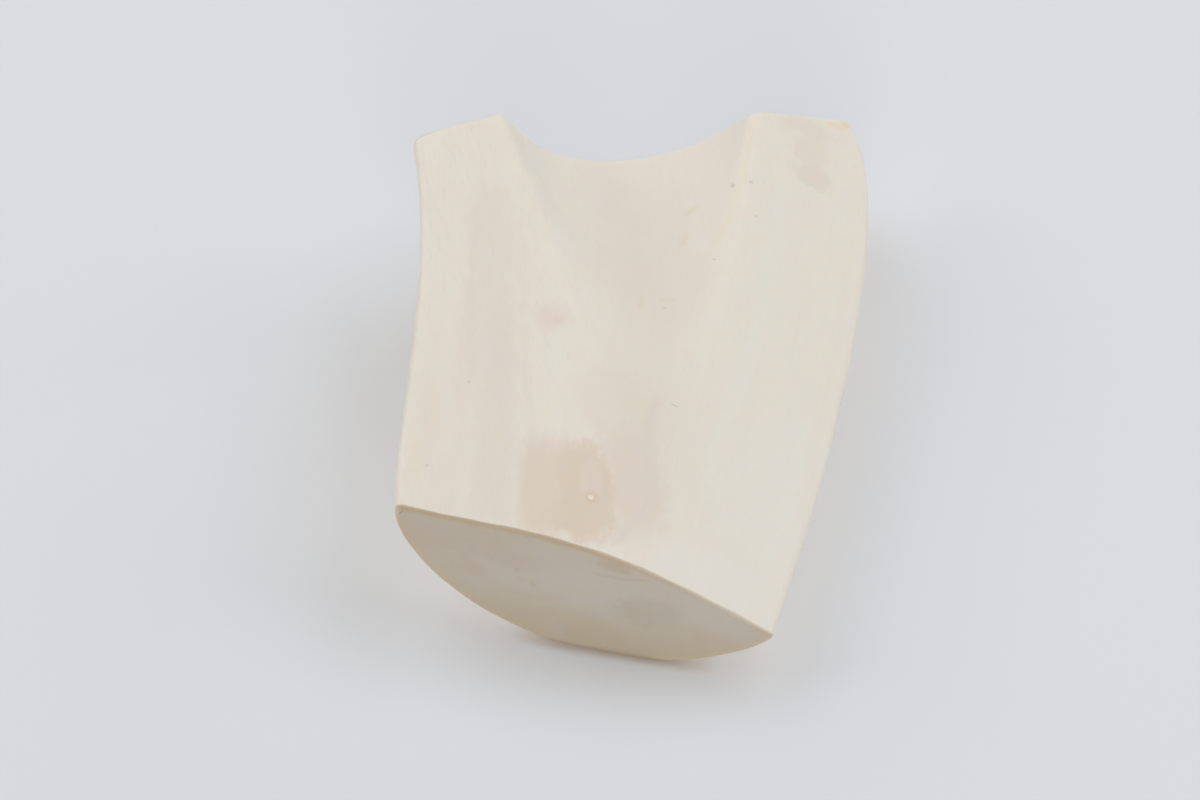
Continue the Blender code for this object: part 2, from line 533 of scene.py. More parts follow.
def hollow_depth(x, y):
    """How far the cavity's floor lies below the two saw cuts of the top, at least nought."""
    left, right = (cut[0] + cut[1] * x + cut[2] * y for cut in (LEFT_CUT, RIGHT_CUT))
    return np.clip(np.minimum(left, right) - RIDGE_ALLOWANCE - top_height(x, y), 0, None)


def measurements(points):
    """Every note for the material, as arrays with one value or one triple for each point."""
    x, y, z = points.T
    along = share_along(points)
    left, reach, width, keel, half_height = section_frame(along)
    across = ((points[:, :2] - left) * reach).sum(axis=-1) / width
    (_, left_half), (_, right_half) = half_turns(along)
    half_width = np.where(across < keel, left_half, right_half)
    aside = (across - keel) / half_width
    upward = (z - half_height + FOOT_WEAR) / half_height
    ratio = np.hypot(aside, upward)
    slope = np.hypot(aside / half_width, upward / half_height) / ratio
    middle_x, middle_z, radius = cavity_axis(y)
    from_middle = np.hypot(across - keel, z - half_height)
    winding = NOMINAL_RADIUS_MM * np.arctan2(across - keel, half_height - z)
    wound = (NOMINAL_RADIUS_MM * np.log(from_middle * MM), winding, 0 * x)
    drawn = {name: line_distance(x * MM, y * MM, lines) for name, lines in DRAWN_LINES.items()}
    return drawn | {
        "hollow": np.stack((hollow_depth(x, y) * MM, (x - middle_x) / radius, y * MM), 1),
        "vein": np.stack((vein_aside(x * MM, y * MM), y * MM, 0 * x), 1),
        "grain": np.stack((across / width * NOMINAL_WIDTH_MM, y * MM, z * MM), 1),
        "layers": (np.hypot(x - middle_x, z - middle_z) - radius) * MM,
        "skin": (1 - ratio) / slope * MM,
        "below_top": (top_height(x, y) - z) * MM,
        "rings": np.stack(wound, 1),
    }


notes = measurements(points)
turned = np.sin(np.linspace(np.pi / 2, 0, RIM_STEPS + 1))
end_cut = np.zeros(ring_count)
end_cut[:RIM_STEPS + 1] = turned
end_cut[-RIM_STEPS - 1:] = turned[::-1]
inside_cuts = np.ones(len(near_points) + len(far_points))
notes["end_cut"] = np.concatenate((np.repeat(end_cut, ring_size), inside_cuts))
for name, values in notes.items():
    print(name, "from", np.round(values.min(axis=0), 1), "to", np.round(values.max(axis=0), 1))

# %% Make the piece
def make_piece():
    """Puts the arrays into one mesh, with a point attribute for each measurement."""
    mesh = bpy.data.meshes.new("ivory_surface")
    mesh.from_pydata(points, [], quads.tolist() + triangles.tolist())
    mesh.shade_smooth()
    for name, values in notes.items():
        kind, field = ("FLOAT", "value") if values.ndim == 1 else ("FLOAT_VECTOR", "vector")
        attribute = mesh.attributes.new(name, kind, "POINT")
        attribute.data.foreach_set(field, values.astype(np.float32).ravel())
    piece = bpy.data.objects.new("ivory_surface", mesh)
    bpy.context.scene.collection.objects.link(piece)
    return piece


piece = make_piece()
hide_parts("ivory_piece")
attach(piece, "root")
print("piece made:", len(piece.data.vertices), "points")

# %% [markdown]
# ## Painting with nodes
#
# The material is built in layers, like thin washes of paint. A handful of small helpers
# keep it readable: `add` puts in a node and plugs things into it, `mask` turns a
# measurement into a mask between nought and one, `both` keeps what two masks share, `spot`
# is the mask of an oval, and `wash` lays a colour over what is there. Colours are written
# as they look on a screen, from 0 to 255, and turned into light values once.

# %% Helpers for nodes
def light(red, green, blue):
    """Screen values 0 to 255 as linear light: the standard curve of a screen, undone."""
    values = np.array((red, green, blue)) / 255
    linear = np.where(values <= 0.04045, values / 12.92, ((values + 0.055) / 1.055) ** 2.4)
    return (*linear.tolist(), 1.0)


METRES_A_MM = (0.001, 0.001, 0.001)
FLAT = 1e6


class Wash:
    """A material under construction: its node tree, and the colour painted so far."""

    def __init__(self, name):
        self.material = bpy.data.materials.new(name)
        self.material.use_nodes = True
        self.tree = self.material.node_tree
        self.shader = self.tree.nodes["Principled BSDF"]
        self.colour = None

    def add(self, kind, plugs=None, **settings):
        """Adds a node. Settings are its properties, and plugs its inputs: values or sockets."""
        node = self.tree.nodes.new("ShaderNode" + kind)
        for key, value in settings.items():
            setattr(node, key, value)
        for key, value in (plugs or {}).items():
            if isinstance(value, bpy.types.NodeSocket):
                self.tree.links.new(value, node.inputs[key])
            else:
                node.inputs[key].default_value = value
        return node

    def note(self, name, vector=False):
        """Reads one of the measurements that the mesh carries."""
        node = self.add("Attribute", attribute_name=name)
        return node.outputs["Vector" if vector else "Fac"]

    def sum(self, operation, *values):
        """One arithmetic step."""
        return self.add("Math", dict(enumerate(values)), operation=operation).outputs[0]

    def mask(self, value, nought_at, one_at):
        """A soft step: nought at one value, one at the other, smooth between."""
        plugs = {"Value": value, "From Min": nought_at, "From Max": one_at}
        return self.add("MapRange", plugs, interpolation_type="SMOOTHSTEP").outputs[0]

    def both(self, one, other):
        """One where two masks are both one: their product."""
        return self.sum("MULTIPLY", one, other)

    def stretched(self, vector, sizes):
        """Divides a place by a pattern's size along each axis, so that it repeats once a unit."""
        plugs = {"Vector": vector, "Scale": tuple(1 / size for size in sizes)}
        return self.add("Mapping", plugs).outputs[0]

    def place_in_mm(self):
        """The place on the object itself, in millimetres."""
        return self.stretched(self.add("TexCoord").outputs["Object"], METRES_A_MM)

    def noise(self, vector, detail=2.0, roughness=0.5):
        """Smooth random values around a half."""
        plugs = {"Vector": vector, "Scale": 1.0, "Detail": detail, "Roughness": roughness}
        return self.add("TexNoise", plugs).outputs["Fac"]

    def wash(self, mask, colour, strength=1.0):
        """Lays a colour over the paint where the mask is one, by a share of its strength."""
        if strength != 1.0:
            mask = self.sum("MULTIPLY", mask, strength)
        self.colour = self.add("Mix", {0: mask, 6: self.colour, 7: colour}, data_type="RGBA").outputs[2]

    def spot(self, place, centre, half, turn=0.0, soft=0.3, ragged=None, boxy=False):
        """One inside a turned oval of the plan view, nought outside, with a ragged soft border.

        The oval's own frame divides by its half-sizes, so the border is where the length is one,
        and the height is divided by so much that it doesn't count. A boxy one takes the root of
        the squares' length, which is an oval with full corners.
        """
        plugs = {"Vector": place, "Location": (*centre, 0), "Rotation": (0, 0, math.radians(turn))}
        own = self.add("Mapping", plugs | {"Scale": (*half, FLAT)}, vector_type="TEXTURE").outputs[0]
        if boxy:
            own = self.add("VectorMath", {0: own, 1: own}, operation="MULTIPLY").outputs[0]
        out = self.add("VectorMath", {0: own}, operation="LENGTH").outputs["Value"]
        if boxy:
            out = self.sum("SQRT", out)
        if ragged is not None:
            out = self.sum("ADD", out, ragged)
        return self.mask(out, 1 + soft, 1 - soft)


# %% [markdown]
# ## The ivory
#
# Dentine is a warm white with almost no contrast, and what makes it look like ivory and
# not plaster is a stack of very faint patterns. Cloudy patches lean to yellow or to pink.
# Broad streaks and fine fibres run along the tusk. Nested growth layers come to the
# surface as long thin lines. They could be painted as a picture, but patterns that are
# computed stay sharp from any distance and reach the underside as well.

# %% Ivory: clouds, streaks, fibres and growth layers
CREAM = light(234, 226, 213)
YELLOWISH = light(233, 224, 207)
PINKISH = light(233, 220, 210)
BLUISH = light(233, 229, 220)
FIBRE_SHADE = light(225, 215, 201)
# How large the patterns are, in millimetres across, along and up
CLOUD_SIZE = (9, 15, 9)
STREAK_SIZE = (3.2, 60, 9)
FIBRE_SIZE = (0.5, 9, 0.8)
GROWTH_SIZE = (1.3, 45, 1)

ivory = Wash("mammoth_ivory")
place_mm = ivory.place_in_mm()
across_mm, along_mm, height_mm = ivory.add("SeparateXYZ", {0: place_mm}).outputs
grain = ivory.note("grain", vector=True)
base = ivory.add("RGB")
base.outputs[0].default_value = CREAM
ivory.colour = base.outputs[0]

clouds = ivory.noise(ivory.stretched(place_mm, CLOUD_SIZE), detail=4)
ivory.wash(ivory.mask(clouds, 0.5, 0.7), YELLOWISH, 0.45)
ivory.wash(ivory.mask(clouds, 0.5, 0.3), PINKISH, 0.4)
streaks = ivory.noise(ivory.stretched(grain, STREAK_SIZE), detail=4, roughness=0.6)
ivory.wash(ivory.mask(streaks, 0.5, 0.75), BLUISH, 0.5)
ivory.wash(ivory.mask(streaks, 0.48, 0.25), FIBRE_SHADE, 0.4)
fibres = ivory.noise(ivory.stretched(grain, FIBRE_SIZE), detail=3, roughness=0.6)
ivory.wash(ivory.mask(fibres, 0.5, 0.75), FIBRE_SHADE, 0.4)
layers = ivory.note("layers")
across_layers = ivory.add("CombineXYZ", {0: layers, 1: along_mm}).outputs[0]
growth = ivory.noise(ivory.stretched(across_layers, GROWTH_SIZE), detail=2)
left_half = ivory.mask(across_mm, 4, -10)
ivory.wash(ivory.both(left_half, ivory.mask(growth, 0.5, 0.72)), BLUISH, 0.35)
ivory.wash(ivory.both(left_half, ivory.mask(growth, 0.5, 0.28)), FIBRE_SHADE, 0.15)
print("base of the ivory:", len(ivory.tree.nodes), "nodes")

# %% [markdown]
# ## Tints and stains on the top
#
# Thousands of years in the ground have left tints. Most are hardly there: a pink breath in
# the trough, an olive one near the middle, a grey band on the left, bluish stripes on the
# right. One is plain to see, a reddish brown stain round the pearl. Not all of it is tint:
# the trough's right wall is painted greyer and darker as shade, two pale bluish patches by
# the near right corner are painted sheen, and the pearl's white top is a painted highlight.
# Each is an oval with its place, half-sizes and turn in millimetres and degrees, how soft
# and how ragged its border is, its colour and its strength. One shared noise makes all
# borders ragged. The left part of the stain has fuller corners than an oval, so it goes on
# first, by itself.

# %% Ivory: tints
TINTS = [
    # centre, half-sizes, turn, softness, raggedness, colour, strength
    ((-2, 17), (9, 9), 0, 0.5, 0.5, light(233, 218, 207), 0.5),
    ((2, -24), (15, 38), 0, 0.6, 0.5, light(229, 220, 206), 0.45),
    ((-46, -35), (10, 30), 0, 0.7, 0.6, light(230, 220, 206), 0.45),
    ((-1.5, -48), (7.5, 18), 6, 0.5, 0.6, light(224, 209, 193), 0.68),
    ((-4, -27), (11, 9), 0, 0.5, 0.6, light(228, 218, 200), 0.65),
    ((-20.5, -32), (5.5, 8), -20, 0.7, 0.6, light(234, 226, 213), 0.35),
    ((-15, 0), (3.5, 4), 0, 0.6, 0.5, light(234, 227, 216), 0.45),
    ((-33.5, -17), (3, 13), 0, 0.7, 0.6, light(229, 217, 208), 0.55),
    ((-51, -31), (2.5, 6), 0, 0.7, 0.8, light(232, 220, 200), 0.3),
    ((-53.5, -46), (2, 5), 0, 0.7, 0.8, light(232, 219, 198), 0.3),
    # lighter bluish patches on the right; the two by the near right corner are painted sheen
    ((17, -68), (17, 6.5), -12, 0.6, 0.5, light(234, 229, 220), 0.6),
    ((32, -48), (13, 26), -10, 0.6, 0.5, light(234, 229, 219), 0.6),
    ((38, 5), (18, 70), -8, 0.6, 0.5, light(233, 227, 215), 0.5),
    ((16.0, 31.5), (2.6, 4.0), -10, 0.8, 0.5, light(234, 228, 222), 0.4),
    # the reddish spot and its core
    ((-21, -5), (4.4, 4), 0, 0.5, 0.7, light(229, 214, 202), 0.75),
    ((-19.4, -6.2), (1.7, 1.4), 0, 0.5, 0.8, light(226, 208, 193), 0.7),
    # the stain round the pearl: right part, brown top, dark foot, right lobe, pink oval, pink foot
    ((-13, -52.5), (6.4, 13.2), 0, 0.25, 0.45, light(224, 206, 187), 0.9),
    ((-14, -43.5), (4.5, 4.5), 0, 0.4, 0.6, light(224, 208, 187), 0.65),
    ((-15, -59.8), (7.5, 5), -8, 0.5, 0.7, light(223, 207, 186), 0.65),
    ((-8, -54), (2.2, 9.5), 0, 0.4, 0.4, light(220, 206, 187), 0.55),
    ((-11.2, -49.5), (2.6, 6.2), 0, 0.25, 0.3, light(228, 212, 198), 0.7),
    ((-13, -63), (6, 2.6), -13, 0.6, 0.7, light(223, 205, 187), 0.65),
    # the pearl's pit, darker, and a painted highlight on top of the pearl
    ((-11.5, -54.2), (1.9, 1.8), 0, 0.5, 0.3, light(218, 193, 166), 0.55),
    ((-11.6, -54.1), (0.6, 0.6), 0, 0.4, 0.0, light(242, 236, 227), 0.8),
    # brown blotches near the far right corner, and orange on the corner itself
    ((43.2, 71.8), (6.4, 3.0), -10, 0.4, 0.9, light(229, 218, 204), 0.75),
    ((45.0, 57.4), (4.4, 3.6), -8, 0.2, 0.5, light(228, 216, 203), 0.8),
    ((40.4, 58.6), (2.4, 1.8), -8, 0.25, 0.7, light(230, 220, 207), 0.6),
    ((44.4, 64.5), (4.2, 5.8), 0, 0.4, 0.7, light(230, 218, 204), 0.75),
    ((50.8, 75.5), (2.4, 0.8), 6, 0.5, 0.9, light(233, 216, 186), 0.6),
    ((53.6, 77), (1.4, 0.8), 30, 0.5, 0.8, light(231, 210, 172), 0.6),
    # dots and ticks
    ((6.7, 7.5), (0.6, 0.4), 0, 0.5, 0.3, light(220, 202, 172), 0.7),
    ((-41.3, -24.2), (0.4, 0.35), 0, 0.5, 0.3, light(204, 192, 177), 0.7),
    ((-51.1, -46.9), (0.4, 0.35), 0, 0.5, 0.3, light(208, 195, 179), 0.6),
    ((28.7, 49.2), (0.5, 0.35), 0, 0.5, 0.3, light(209, 197, 184), 0.7),
    ((29.8, 39.5), (0.4, 0.35), 0, 0.5, 0.3, light(212, 199, 184), 0.6),
    ((24.1, 48.3), (0.5, 0.7), 0, 0.5, 0.3, light(204, 191, 175), 0.7),
    ((19.1, 24.2), (0.45, 0.35), 0, 0.5, 0.3, light(212, 199, 182), 0.6),
    ((8.9, -23.4), (0.9, 0.2), -12, 0.5, 0.2, light(206, 192, 176), 0.8),
]
STAIN_LEFT = ((-22, -52.6), (6.6, 13.2), 0, 0.26, 0.35, light(224, 208, 190), 0.75)
TROUGH_COLOUR = light(230, 220, 208)
PAINTED_WALL_SHADE = light(220, 213, 202)
BORDER_SIZE = (2.6, 4.2, 2.6)


def paint_spot(place, row, where, boxy=False):
    """Paints one row of a table of ovals, wherever the mask `where` allows it."""
    centre, half, turn, soft, ragged, colour, strength = row
    uneven = ivory.sum("MULTIPLY", borders, ragged)
    spot = ivory.spot(place, centre, half, turn, soft, uneven, boxy)
    ivory.wash(ivory.both(spot, where), colour, strength)


below_top = ivory.note("below_top")
on_top = ivory.mask(below_top, 1.1, 0.4)
borders = ivory.noise(ivory.stretched(place_mm, BORDER_SIZE), detail=4, roughness=0.6)
borders = ivory.sum("MULTIPLY_ADD", borders, 2.0, -1.0)
hollow = ivory.add("SeparateXYZ", {0: ivory.note("hollow", vector=True)})
depth, aside, hollow_along = hollow.outputs
in_trough = ivory.mask(ivory.sum("MULTIPLY_ADD", borders, 0.6, depth), 0.1, 1.8)
off_left_wall = ivory.mask(aside, -0.85, -0.2)
ivory.wash(ivory.both(in_trough, off_left_wall), TROUGH_COLOUR, 0.5)
# Painted shade: the trough's right wall faces away from the light, so it is painted greyer and darker, most
# towards the far end.
shaded_wall = ivory.both(ivory.mask(aside, 0.3, 0.75), ivory.mask(depth, 0.1, 1.0))
far_wall = ivory.mask(hollow_along, 12, 62)
ivory.wash(ivory.both(shaded_wall, far_wall), PAINTED_WALL_SHADE, 0.6)
paint_spot(place_mm, STAIN_LEFT, on_top, boxy=True)
for row in TINTS:
    paint_spot(place_mm, row, on_top)
print(len(TINTS), "tints,", len(ivory.tree.nodes), "nodes")

# %% [markdown]
# ## Lines on the top
#
# Stripes, bands and streaks follow the lines that were measured on the mesh: a mask is one
# on the line itself and fades to nought over the stripe's half-width. The vein is one
# growth line that the mud has picked out: a soft grey line with a slightly darker middle.

# %% Ivory: lines
LINE_WASHES = [
    # note, nought at, one at, colour, strength
    ("grey_band", 8.5, 1.5, light(227, 217, 205), 0.55),
    ("fine_line", 1.9, 0.2, light(226, 213, 201), 0.25),
    ("light_stripe", 3.2, 0.2, light(234, 228, 217), 0.25),
    ("blue_stripe", 2.5, 0.4, light(233, 230, 219), 0.45),
    ("rim_line", 1.0, 0.2, light(233, 222, 197), 0.4),
    ("ochre_streak", 1.2, 0.1, light(228, 212, 186), 0.45),
]
LINE_WOBBLE = 0.5
VEIN_WASHES = [
    # nought at, one at, colour, strength
    (3.4, 0.3, light(226, 215, 205), 0.55),
    (1.2, 0.1, light(220, 207, 196), 0.2),
]

for name, nought_at, one_at, colour, strength in LINE_WASHES:
    wobbly = ivory.sum("MULTIPLY_ADD", borders, LINE_WOBBLE * nought_at, ivory.note(name))
    ivory.wash(ivory.both(ivory.mask(wobbly, nought_at, one_at), on_top), colour, strength)

vein_off, vein_along, _ = ivory.add("SeparateXYZ", {0: ivory.note("vein", vector=True)}).outputs
vein_off = ivory.sum("ABSOLUTE", ivory.sum("MULTIPLY_ADD", borders, 0.8, vein_off))
vein_ends = ivory.both(ivory.mask(vein_along, -19, -26), ivory.mask(vein_along, -67.5, -65))
vein_here = ivory.both(vein_ends, on_top)
for nought_at, one_at, colour, strength in VEIN_WASHES:
    ivory.wash(ivory.both(ivory.mask(vein_off, nought_at, one_at), vein_here), colour, strength)
print(len(LINE_WASHES), "line washes and the vein")

# %% [markdown]
# ## The saw cuts at the ends
#
# A cut across the tusk shows the grain end-on. It's painted greyer and browner than the top,
# most so towards the bottom, where the darker brown is painted shade near the table, and
# a dark line where it meets the table is a painted contact shadow. Its rim is golden where
# it meets the cementum, the thin bark of the tusk, and that gold is also painted glow of
# light through the thin edge. The near one is brown just under its top edge, most of all
# on the left: painted shade on the rounded rim, with the same painted glow.
# Fine arcs cross each other there, the pattern that tells mammoth ivory from other kinds:
# two sets of spirals, one winding each way, multiplied together.

# %% Ivory: end cuts
CUT_COLOUR = light(206, 195, 178)
PAINTED_LOW_SHADE = light(202, 189, 164)
CUT_GOLD_AND_GLOW = light(208, 190, 158)
CUT_BLOTCH = light(202, 185, 165)
CUT_PALE = light(205, 195, 184)
SPIRAL_SHADE = light(186, 170, 146)
RIM_SHADE_AND_GLOW = light(195, 171, 132)
PAINTED_CONTACT_SHADOW = light(176, 158, 130)
CUT_CLOUD_SIZE = (9, 9, 6)
SPIRAL_SPACING = 1.15
RIGHT_RIM_SHARE = 0.25

end_cut = ivory.note("end_cut")
skin = ivory.note("skin")
near_half = ivory.mask(along_mm, 0, -20)
ivory.wash(end_cut, CUT_COLOUR)
# Painted shade: the cut is painted darker and browner towards the bottom, near the table.
painted_low_shade = ivory.mask(ivory.sum("MULTIPLY_ADD", borders, 5.0, height_mm), 24, 4)
ivory.wash(ivory.both(end_cut, painted_low_shade), PAINTED_LOW_SHADE, 0.9)
cut_clouds = ivory.noise(ivory.stretched(place_mm, CUT_CLOUD_SIZE), detail=5)
ivory.wash(ivory.both(end_cut, ivory.mask(cut_clouds, 0.52, 0.66)), CUT_BLOTCH, 0.6)
ivory.wash(ivory.both(end_cut, ivory.mask(cut_clouds, 0.46, 0.32)), CUT_PALE, 0.65)

outwards, winding, _ = ivory.add("SeparateXYZ", {0: ivory.note("rings", vector=True)}).outputs
spirals = []
for sign in (1, -1):
    turning = ivory.sum("MULTIPLY_ADD", winding, sign, outwards)
    phase = ivory.sum("MULTIPLY_ADD", turning, 2 * math.pi / SPIRAL_SPACING, borders)
    spirals.append(ivory.sum("SINE", phase))
crossed = ivory.mask(ivory.sum("MULTIPLY", *spirals), -0.3, 0.8)
crossed_here = ivory.both(end_cut, ivory.mask(skin, 16, 3))
ivory.wash(ivory.both(crossed_here, crossed), SPIRAL_SHADE, 0.42)

# Golden towards the tusk's outside: the cementum's own colour, and painted glow of light through the thin
# edge.
wavy_skin = ivory.sum("MULTIPLY_ADD", borders, 0.7, skin)
ivory.wash(ivory.both(end_cut, ivory.mask(wavy_skin, 8, 1)), CUT_GOLD_AND_GLOW, 0.3)
ivory.wash(ivory.both(end_cut, ivory.mask(wavy_skin, 1.9, 0.9)), CUT_GOLD_AND_GLOW, 0.7)
# Painted shade with a painted golden glow: the near cut just under its top edge and its rounded rim, most
# on the left.
wavy_top = ivory.sum("MULTIPLY_ADD", borders, 0.5, below_top)
rim = ivory.mask(end_cut, 0.1, 0.6)
to_left = ivory.mask(across_mm, 22, -22)
to_left = ivory.sum("MULTIPLY_ADD", to_left, 1 - RIGHT_RIM_SHARE, RIGHT_RIM_SHARE)
painted_rim = ivory.both(ivory.both(rim, near_half), ivory.mask(wavy_top, 2.6, 0.7))
ivory.wash(ivory.both(painted_rim, to_left), RIM_SHADE_AND_GLOW, 0.75)
# Painted contact shadow: a dark line along the bottom of the cuts, where they meet the table.
contact_shadow = ivory.mask(height_mm, 2.2, 0.3)
ivory.wash(ivory.both(end_cut, contact_shadow), PAINTED_CONTACT_SHADOW, 0.7)
print("with the end cuts:", len(ivory.tree.nodes), "nodes")

# %% [markdown]
# ## Marks on the near cut
#
# The near cut has marks of its own: brown blotches, a growth line, small spots and pale
# ones. They're ovals as on the top, but read in the plane of the cut, so the place is
# turned first to put height where the oval expects the second axis.

# %% Ivory: marks on the near cut
CUT_MARKS = [
    # centre as (x, height), half-sizes, turn, softness, raggedness, colour, strength
    ((-46, 35), (17, 6), 8, 0.6, 0.6, light(199, 184, 163), 0.5),
    ((-14, 24), (12, 9), 0, 0.6, 0.5, light(207, 198, 185), 0.6),
    ((20, 21), (9, 6), -20, 0.6, 0.6, light(207, 197, 182), 0.6),
    ((2.2, 18.8), (8, 5.4), 10, 0.3, 0.7, light(196, 185, 167), 0.65),
    ((-6, 33.8), (4.2, 1.6), -8, 0.6, 0.7, light(194, 175, 150), 0.5),
    ((-6.5, 30.2), (4.5, 0.5), 0, 0.7, 0.3, light(192, 175, 153), 0.4),
    ((-1, 30.7), (4, 0.5), 14, 0.7, 0.3, light(192, 175, 153), 0.4),
    ((-31, 30), (9, 3), 0, 0.6, 0.8, light(200, 184, 166), 0.5),
    ((-25.6, 22.2), (0.9, 1.6), 0, 0.7, 0.6, light(192, 175, 153), 0.3),
    ((-29.5, 26.2), (0.9, 1.0), 0, 0.6, 0.6, light(190, 172, 149), 0.35),
    ((25.5, 26.6), (1.5, 1.0), 0, 0.5, 0.6, light(213, 202, 183), 0.5),
    ((-12, 8), (9, 5), -25, 0.6, 0.5, light(200, 183, 158), 0.5),
]

upright = ivory.add("CombineXYZ", {0: across_mm, 1: height_mm}).outputs[0]
near_cut = ivory.both(end_cut, near_half)
for row in CUT_MARKS:
    paint_spot(upright, row, near_cut)
print(len(CUT_MARKS), "marks on the near cut")

# %% [markdown]
# ## The outside of the tusk
#
# Underneath, the piece is bark: honey-coloured cementum, streaked along the tusk and
# lightly cracked the same way. It starts where the rounded long edges turn under. It also
# throws warm light on the table beside the piece.

# %% Ivory: the bark underneath
BARK = light(246, 226, 194)
BARK_DARK = light(226, 198, 160)
BARK_PALE = light(248, 234, 210)
CRACK_SHADE = light(186, 160, 124)
BARK_STREAK_SIZE = (4, 45, 5)
CRACK_SIZE = (1.8, 80, 2.4)

not_cut = ivory.sum("SUBTRACT", 1.0, end_cut)
ragged_depth = ivory.sum("MULTIPLY_ADD", borders, 1.2, below_top)
underneath = ivory.both(ivory.mask(ragged_depth, 1.0, 4.5), not_cut)
ivory.wash(underneath, BARK)
bark_streaks = ivory.noise(ivory.stretched(grain, BARK_STREAK_SIZE), detail=4, roughness=0.6)
ivory.wash(ivory.both(underneath, ivory.mask(bark_streaks, 0.5, 0.75)), BARK_PALE, 0.7)
ivory.wash(ivory.both(underneath, ivory.mask(bark_streaks, 0.46, 0.25)), BARK_DARK, 0.5)
cracks = ivory.noise(ivory.stretched(grain, CRACK_SIZE), detail=1)
crack_line = ivory.mask(ivory.sum("ABSOLUTE", ivory.sum("SUBTRACT", cracks, 0.5)), 0.008, 0.002)
ivory.wash(ivory.both(underneath, crack_line), CRACK_SHADE, 0.35)
print("with the bark:", len(ivory.tree.nodes), "nodes")

# %% [markdown]
# ## Polish
#
# Old ivory is neither matt nor shiny, and a little light sinks in and spreads before it
# comes out again. The fibres and the saw leave a relief of hundredths of a millimetre,
# too fine for the mesh, so it is a bump. The pearl was polished by touch.

# %% Finish the ivory
ROUGHNESS = (0.38, 0.5)
PEARL_TOP_HALF = (0.5, 0.5)
PEARL_POLISH = 0.22
FINE_SIZE = (0.35, 5, 0.5)
FINE_RELIEF_M = 0.00006
BUMP_STRENGTH = 0.5
SINK_SHARE = 0.3
SINK_REACH = (1.0, 0.62, 0.38)
SINK_DEPTH_M = 0.0025

shader = ivory.shader
ivory.tree.links.new(ivory.colour, shader.inputs["Base Color"])
rough = ivory.add("MapRange", {"Value": clouds, 3: ROUGHNESS[0], 4: ROUGHNESS[1]}).outputs[0]
pearl_mm = tuple(side * MM for side in PEARL)
pearl_top = ivory.spot(place_mm, pearl_mm, PEARL_TOP_HALF, soft=0.4)
rough = ivory.sum("MULTIPLY_ADD", pearl_top, -PEARL_POLISH, rough)
ivory.tree.links.new(rough, shader.inputs["Roughness"])
fine = ivory.noise(ivory.stretched(grain, FINE_SIZE), detail=2)
bump = ivory.add("Bump", {"Strength": BUMP_STRENGTH, "Distance": FINE_RELIEF_M, "Height": fine})
ivory.tree.links.new(bump.outputs[0], shader.inputs["Normal"])
shader.inputs["Subsurface Weight"].default_value = SINK_SHARE
shader.inputs["Subsurface Radius"].default_value = SINK_REACH
shader.inputs["Subsurface Scale"].default_value = SINK_DEPTH_M
piece.data.materials.append(ivory.material)
print("ivory finished:", len(ivory.tree.nodes), "nodes")

# %% [markdown]
# ## Table and light
#
# The piece lies on a plain pale table. Its shadows are faint and wide, so the light comes
# from all round it: softboxes stand in a tent, each placed by its height above the table
# and its direction, both in degrees. Behind is 0 and the right is 90. The table is a sheet
# of opal acrylic. Light that enters it anywhere spreads inside and comes out everywhere, so
# it glows a little, even in the shadow, and lights the curved underside from below. Under
# the belly of a real piece less light gets in, and least of all along its foot, where what
# there is has been warmed by the bark. A glowing node can't know what lies on it, so those
# two darker patches are painted into the table, in the places where the piece lies.

# %% Floor
# Places and half-sizes are in millimetres. Each end of the foot's patch is a slanted line:
# its slope, and where across it the patch is nought and one
FLOOR_COLOUR = light(185, 190, 196)
FLOOR_GLOW = 0.235
GLOW_COLOUR = (1.0, 0.94, 0.9, 1.0)
# The dim patch under the belly and the foot's patch are painted shade in the table's glow, and
# WARMED_COLOUR is painted warm light from the bark, mixed into the table along the foot.
DIM_CENTRE, DIM_HALF, DIM_BY = (-5, -2), (30, 66), 0.3
FOOT_CENTRE, FOOT_HALF, FOOT_DIM_BY = (-6, -3), (22, 95), 0.6
FOOT_ENDS = [(0.21, -73.8, -70.8), (-0.3, 65.2, 62.2)]
WARMED_COLOUR = light(200, 190, 180)
DIM_SOFT, FOOT_SOFT = 0.2, 0.3
FLOOR_ROUGHNESS = 0.6
FLOOR_HALF = 3.0
FLOOR_GAP = 0.0002


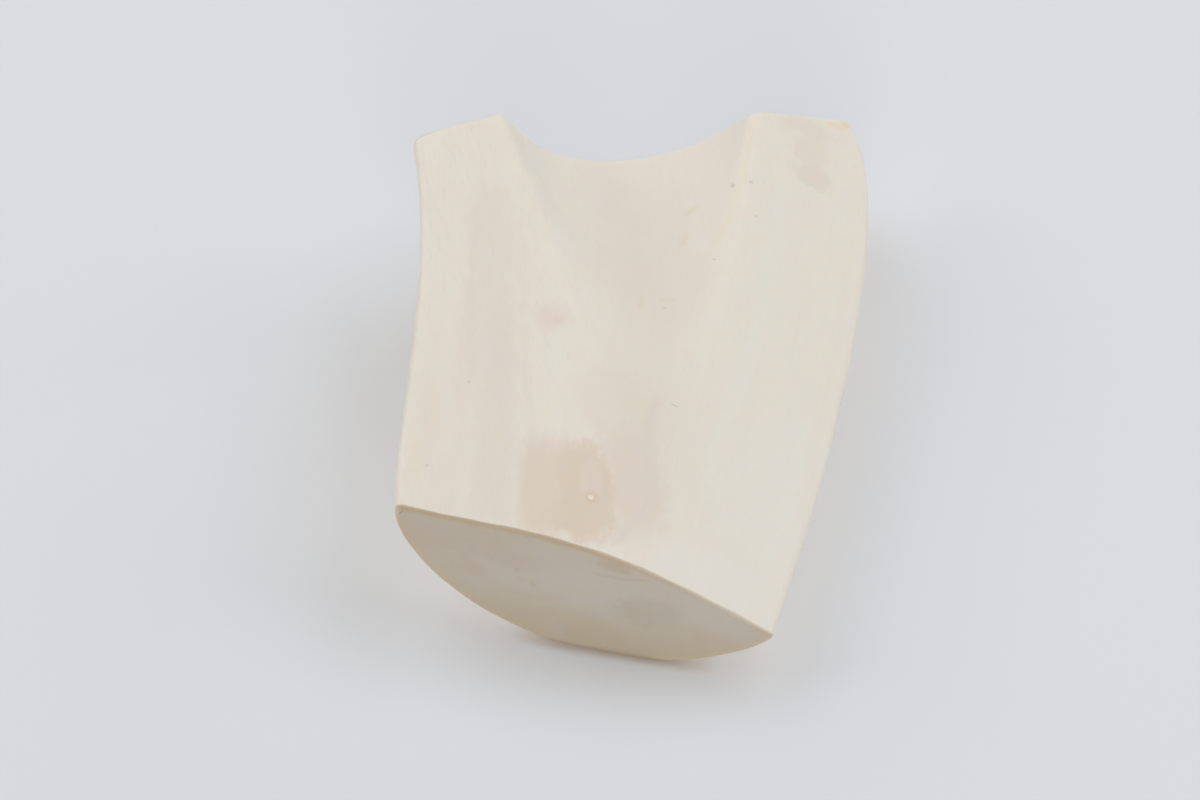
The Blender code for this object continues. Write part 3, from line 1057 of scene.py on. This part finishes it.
def add_floor():
    """One large square, a fifth of a millimetre below the piece."""
    mesh = bpy.data.meshes.new("table_top")
    h = FLOOR_HALF
    mesh.from_pydata([(-h, -h, 0), (h, -h, 0), (h, h, 0), (-h, h, 0)], [], [(0, 1, 2, 3)])
    floor = bpy.data.objects.new("table_top", mesh)
    bpy.context.scene.collection.objects.link(floor)
    acrylic = Wash("opal_acrylic")
    place_mm = acrylic.place_in_mm()
    dim = acrylic.spot(place_mm, DIM_CENTRE, DIM_HALF, soft=DIM_SOFT)
    glow = acrylic.sum("MULTIPLY_ADD", dim, -DIM_BY * FLOOR_GLOW, FLOOR_GLOW)
    foot = acrylic.spot(place_mm, FOOT_CENTRE, FOOT_HALF, soft=FOOT_SOFT, boxy=True)
    across, along, _ = acrylic.add("SeparateXYZ", {0: place_mm}).outputs
    for slope, nought_at, one_at in FOOT_ENDS:
        slanted = acrylic.sum("MULTIPLY_ADD", across, slope, along)
        foot = acrylic.both(foot, acrylic.mask(slanted, nought_at, one_at))
    glow = acrylic.sum("MULTIPLY_ADD", foot, -FOOT_DIM_BY * FLOOR_GLOW, glow)
    acrylic.tree.links.new(glow, acrylic.shader.inputs["Emission Strength"])
    acrylic.shader.inputs["Emission Color"].default_value = GLOW_COLOUR
    base = acrylic.add("Mix", {0: foot, 6: FLOOR_COLOUR, 7: WARMED_COLOUR}, data_type="RGBA")
    acrylic.tree.links.new(base.outputs[2], acrylic.shader.inputs["Base Color"])
    acrylic.shader.inputs["Roughness"].default_value = FLOOR_ROUGHNESS
    mesh.materials.append(acrylic.material)
    floor.location.z = -FLOOR_GAP
    return acrylic


print("table painted with", len(add_floor().tree.nodes), "nodes")

# %% Lights
TENT_RADIUS = 1.4
SOFTBOX_SIZE = 0.75
CLEAR = (1.0, 1.0, 1.0)
COOL = (0.95, 0.975, 1.0)
SOFTBOXES = [
    # height angle, direction, watts, colour
    (16, 0, 1.8, CLEAR),
    (16, 45, 3.1, CLEAR),
    (16, 180, 4.2, CLEAR),
    (35, 90, 4.1, CLEAR),
    (35, 180, 3.8, CLEAR),
    (16, 295, 2.1, CLEAR),
    (35, 270, 4.0, CLEAR),
    (35, 315, 2.2, CLEAR),
    (60, 45, 3.1, COOL),
    (60, 90, 2.9, COOL),
    (60, 315, 3.8, COOL),
]
ROOM_COLOUR = (1.0, 1.0, 1.0, 1.0)
ROOM_STRENGTH = 0.005


def add_room():
    """A trace of even light, so that nothing is ever quite black."""
    world = bpy.data.worlds.new("room")
    bpy.context.scene.world = world
    world.use_nodes = True
    background = world.node_tree.nodes["Background"]
    background.inputs["Color"].default_value = ROOM_COLOUR
    background.inputs["Strength"].default_value = ROOM_STRENGTH


def add_softbox(lift, turn, power, colour):
    """A square light on the dome, turned to face the piece."""
    lamp = bpy.data.lights.new(f"softbox_{lift}_{turn}", "AREA")
    lamp.size = SOFTBOX_SIZE
    lamp.energy = power
    lamp.color = colour
    softbox = bpy.data.objects.new(lamp.name, lamp)
    bpy.context.scene.collection.objects.link(softbox)
    out = TENT_RADIUS * math.cos(math.radians(lift))
    up = TENT_RADIUS * math.sin(math.radians(lift))
    softbox.location = (out * math.sin(math.radians(turn)), out * math.cos(math.radians(turn)), up)
    aim = -softbox.location
    softbox.rotation_euler = aim.to_track_quat("-Z", "Y").to_euler()


add_room()
for softbox in SOFTBOXES:
    add_softbox(*softbox)
print(len(SOFTBOXES), "softboxes,", round(sum(softbox[2] for softbox in SOFTBOXES), 1), "watts")

# %% Show colours as they are
bpy.context.scene.view_settings.view_transform = "Standard"
